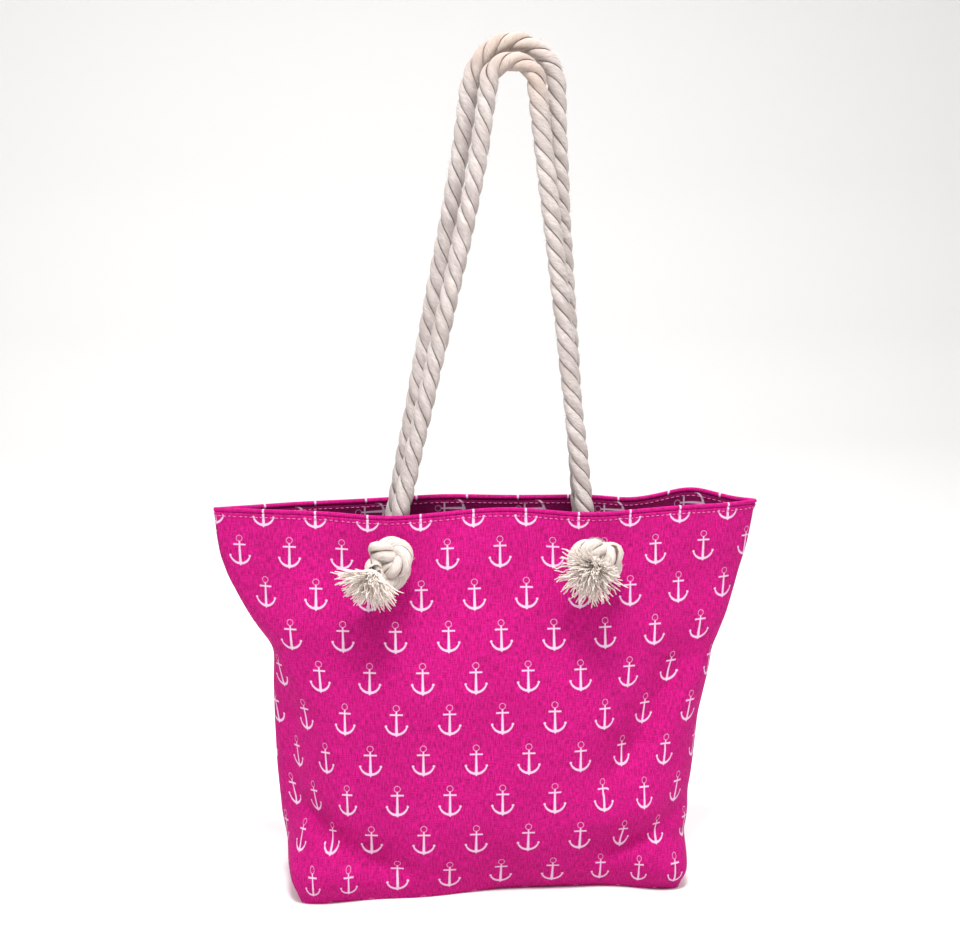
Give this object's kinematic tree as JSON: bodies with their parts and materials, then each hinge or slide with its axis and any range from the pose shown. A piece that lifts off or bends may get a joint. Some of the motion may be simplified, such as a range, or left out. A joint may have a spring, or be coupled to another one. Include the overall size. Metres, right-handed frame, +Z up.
{
  "type": "rope-handled canvas beach bag",
  "caption": "Open canvas beach tote with a boxed base, anchor print and twisted rope handles knotted outside the panels.",
  "frame": {"origin": "middle of the base, on the surface that the bag stands on", "axes": "+X to the right of someone facing the front panel, -Y out of the front panel, +Z up"},
  "size_m": [0.4536, 0.1786, 0.705],
  "materials": {
    "printed_canvas": "matte printed canvas",
    "printed_lining": "matte printed canvas",
    "thread": "matte thread",
    "seam_allowance": "matte canvas",
    "eyelet_metal": "satin",
    "cotton_rope": "matte twisted cotton",
    "frayed_cotton": "matte loose cotton yarn"
  },
  "bodies": {
    "root": {"front_panel": "printed_canvas", "back_panel": "printed_canvas", "front_lining": "printed_lining", "back_lining": "printed_lining", "front_rim_hem": "printed_canvas", "back_rim_hem": "printed_canvas", "front_rim_stitching": "thread", "back_rim_stitching": "thread", "left_side_seam": "seam_allowance", "right_side_seam": "seam_allowance", "left_corner_seam": "seam_allowance", "right_corner_seam": "seam_allowance", "base_seam": "seam_allowance", "front_left_eyelet": "eyelet_metal", "front_left_eyelet_washer": "eyelet_metal", "front_left_rope_end": "cotton_rope", "front_left_knot": "cotton_rope", "front_left_tassel": "frayed_cotton", "front_right_eyelet": "eyelet_metal", "front_right_eyelet_washer": "eyelet_metal", "front_right_rope_end": "cotton_rope", "front_right_knot": "cotton_rope", "front_right_tassel": "frayed_cotton", "back_left_eyelet": "eyelet_metal", "back_left_eyelet_washer": "eyelet_metal", "back_left_rope_end": "cotton_rope", "back_left_knot": "cotton_rope", "back_left_tassel": "frayed_cotton", "back_right_eyelet": "eyelet_metal", "back_right_eyelet_washer": "eyelet_metal", "back_right_rope_end": "cotton_rope", "back_right_knot": "cotton_rope", "back_right_tassel": "frayed_cotton"},
    "front_handle": {"front_handle_rope": "cotton_rope"},
    "back_handle": {"back_handle_rope": "cotton_rope"}
  },
  "joints": [
    {"name": "front_handle_swing", "type": "hinge", "parent": "root", "child": "front_handle", "pos_m": [0, -0.034, 0.32], "axis": [1, 0, 0], "range_deg": [0, 120]},
    {"name": "back_handle_swing", "type": "hinge", "parent": "root", "child": "back_handle", "pos_m": [0, 0.034, 0.32], "axis": [-1, 0, 0], "range_deg": [0, 120]}
  ]
}
